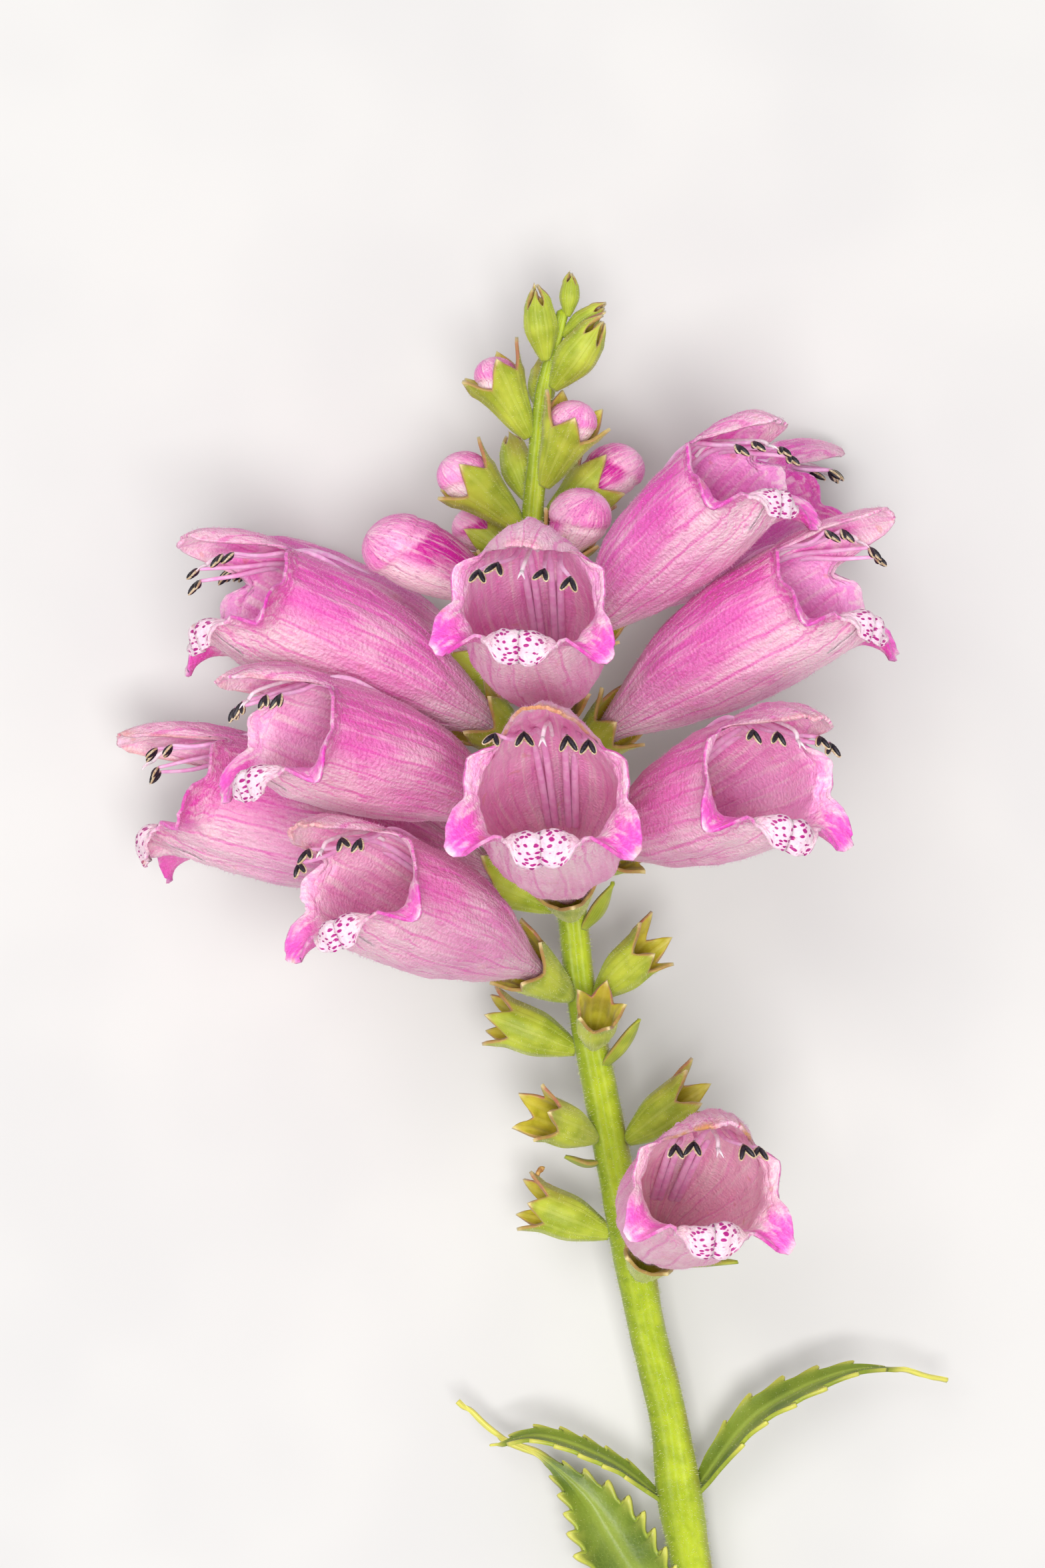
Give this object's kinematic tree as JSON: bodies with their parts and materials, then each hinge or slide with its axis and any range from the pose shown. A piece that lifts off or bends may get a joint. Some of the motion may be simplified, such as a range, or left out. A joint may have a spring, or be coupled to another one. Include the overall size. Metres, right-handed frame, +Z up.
{
  "type": "obedient plant stem",
  "caption": "Cut spike of obedient plant lying on its side: square stem, mauve tubular flowers with spotted lips, green calyces, buds and toothed leaves.",
  "frame": {"origin": "middle of the underside of the whole, on the surface that it lies on", "axes": "+Y along the stem to its tip, +Z up from the surface, +X to the right as seen from above with the tip at the top"},
  "size_m": [0.0734, 0.1318, 0.0511],
  "materials": {
    "stem_green": null,
    "petal_mauve": null,
    "bud_magenta": null,
    "calyx_green": null,
    "leaf_green": null
  },
  "bodies": {
    "root": {"stem": "stem_green", "corolla_a": "petal_mauve", "calyx_a": "calyx_green", "corolla_b": "petal_mauve", "calyx_b": "calyx_green", "corolla_c": "petal_mauve", "calyx_c": "calyx_green", "corolla_d": "petal_mauve", "calyx_d": "calyx_green", "corolla_f1": "petal_mauve", "calyx_f1": "calyx_green", "corolla_f2": "petal_mauve", "calyx_f2": "calyx_green", "corolla_g": "petal_mauve", "calyx_g": "calyx_green", "corolla_r1": "petal_mauve", "calyx_r1": "calyx_green", "corolla_r2": "petal_mauve", "calyx_r2": "calyx_green", "corolla_r3": "petal_mauve", "calyx_r3": "calyx_green", "corolla_a_back": "petal_mauve", "calyx_a_back": "calyx_green", "corolla_r1_back": "petal_mauve", "calyx_r1_back": "calyx_green", "empty_calyx_l1": "calyx_green", "empty_calyx_l2": "calyx_green", "empty_calyx_r2": "calyx_green", "empty_calyx_l3": "calyx_green", "empty_calyx_f3": "calyx_green", "empty_calyx_r4": "calyx_green", "bud_calyx_left_large": "calyx_green", "bud_left_large": "bud_magenta", "bud_calyx_right_purple": "calyx_green", "bud_right_purple": "bud_magenta", "bud_calyx_left_mid": "calyx_green", "bud_left_mid": "bud_magenta", "bud_calyx_left_low_back": "calyx_green", "bud_left_low_back": "bud_magenta", "bud_calyx_right_back": "calyx_green", "bud_right_back": "bud_magenta", "bud_calyx_left_back": "calyx_green", "bud_calyx_right_mid": "calyx_green", "bud_right_mid": "bud_magenta", "bud_calyx_left_high": "calyx_green", "bud_left_high": "bud_magenta", "bud_calyx_right_low_back": "calyx_green", "bud_calyx_right_high": "calyx_green", "bud_calyx_back_high": "calyx_green", "bud_calyx_left_top": "calyx_green", "bud_calyx_right_top": "calyx_green", "bud_calyx_apex": "calyx_green", "leaf_right": "leaf_green", "leaf_left": "leaf_green", "leaf_left_low": "leaf_green", "leaf_right_low": "leaf_green"}
  },
  "joints": []
}
